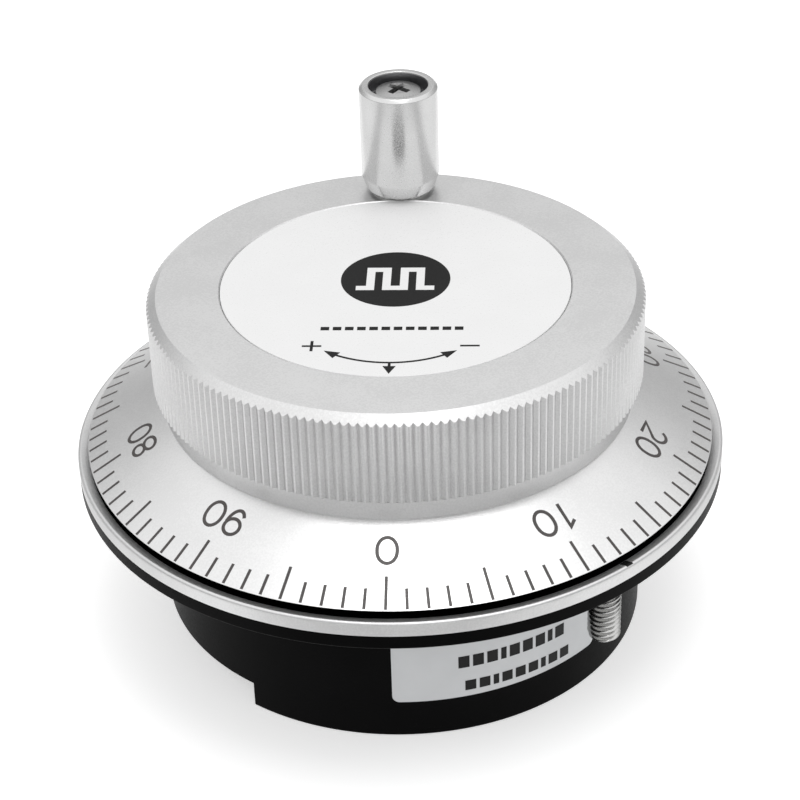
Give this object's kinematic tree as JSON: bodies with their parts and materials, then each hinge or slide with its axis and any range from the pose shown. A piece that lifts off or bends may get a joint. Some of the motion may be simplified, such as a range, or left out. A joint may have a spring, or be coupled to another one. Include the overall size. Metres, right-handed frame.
{
  "type": "panel-mount electronic handwheel",
  "caption": "Panel-mount electronic handwheel: knurled knob with a graduated dial and a revolving crank handle on a round black housing with threaded panel studs.",
  "frame": {"origin": "on the shaft axis, in the plane of the flange's underside, which meets the panel", "axes": "+Z along the shaft towards the operator, +Y towards the index mark and the stud under it"},
  "size_m": [0.08, 0.08, 0.0595],
  "materials": {
    "black_plastic": "moulded, fine matt texture",
    "satin_aluminium": "satin anodised",
    "knurled_aluminium": "turned and straight knurled, satin anodised",
    "dial_aluminium": "satin anodised, printed graduations",
    "cast_alloy": "machined",
    "black_paint": "filled engraving",
    "bright_steel": "bright zinc plate",
    "bearing_steel": "ground",
    "soft_iron": "plain",
    "magnet": "nickel plate",
    "board_green": "solder mask",
    "black_gloss_plastic": "moulded",
    "ceramic": "sintered",
    "capacitor_sleeve": "shrink sleeve",
    "brass": "bright",
    "label_film": "satin film",
    "white_plastic": "satin, printed",
    "code_disc_film": "photo-etched",
    "handle_chrome": "satin chrome"
  },
  "bodies": {
    "housing_body": {"housing": "black_plastic", "bezel_ring": "satin_aluminium", "index_inlay": "black_paint", "mounting_studs": "bright_steel", "bearing_carrier": "cast_alloy", "carrier_screws": "bright_steel", "upper_outer_race": "bearing_steel", "lower_outer_race": "bearing_steel", "detent_magnets": "magnet", "detent_poles": "soft_iron", "circuit_board": "board_green", "board_screws": "bright_steel", "optical_sensor": "black_gloss_plastic", "line_driver_chip": "black_gloss_plastic", "board_parts": "ceramic", "capacitor": "capacitor_sleeve", "terminal_block": "black_plastic", "terminal_bars": "brass", "terminal_clamps": "bright_steel", "terminal_screws": "bright_steel", "rating_label": "label_film"},
    "knob_body": {"shaft": "bearing_steel", "knob": "knurled_aluminium", "dial": "dial_aluminium", "insert_plate": "white_plastic", "hub_screw": "bright_steel", "detent_ring": "soft_iron", "dial_screws": "bright_steel", "code_hub": "brass", "code_disc": "code_disc_film", "disc_clamp": "brass", "retaining_clip": "bearing_steel", "upper_inner_race": "bearing_steel", "lower_inner_race": "bearing_steel", "handle_screw": "bright_steel", "handle_washer": "bright_steel"},
    "handle_body": {"handle_sleeve": "handle_chrome"},
    "upper_ball_set": {"upper_balls": "bearing_steel", "upper_cage": "brass"},
    "lower_ball_set": {"lower_balls": "bearing_steel", "lower_cage": "brass"}
  },
  "joints": [
    {"name": "knob_spin", "type": "hinge", "parent": "housing_body", "child": "knob_body", "pos_m": [0, 0, 0.01], "axis": [0, 0, 1], "continuous": true},
    {"name": "handle_spin", "type": "hinge", "parent": "knob_body", "child": "handle_body", "pos_m": [-0.01695, -0.01837, 0.03], "axis": [0, 0, 1], "continuous": true},
    {"name": "upper_ball_spin", "type": "hinge", "parent": "housing_body", "child": "upper_ball_set", "pos_m": [0, 0, 0.0068], "axis": [0, 0, 1], "continuous": true},
    {"name": "lower_ball_spin", "type": "hinge", "parent": "housing_body", "child": "lower_ball_set", "pos_m": [0, 0, -0.0044], "axis": [0, 0, 1], "continuous": true}
  ],
  "couplings": [
    {"joint": "upper_ball_spin", "follows": "knob_spin", "ratio": 0.368},
    {"joint": "lower_ball_spin", "follows": "knob_spin", "ratio": 0.368}
  ]
}
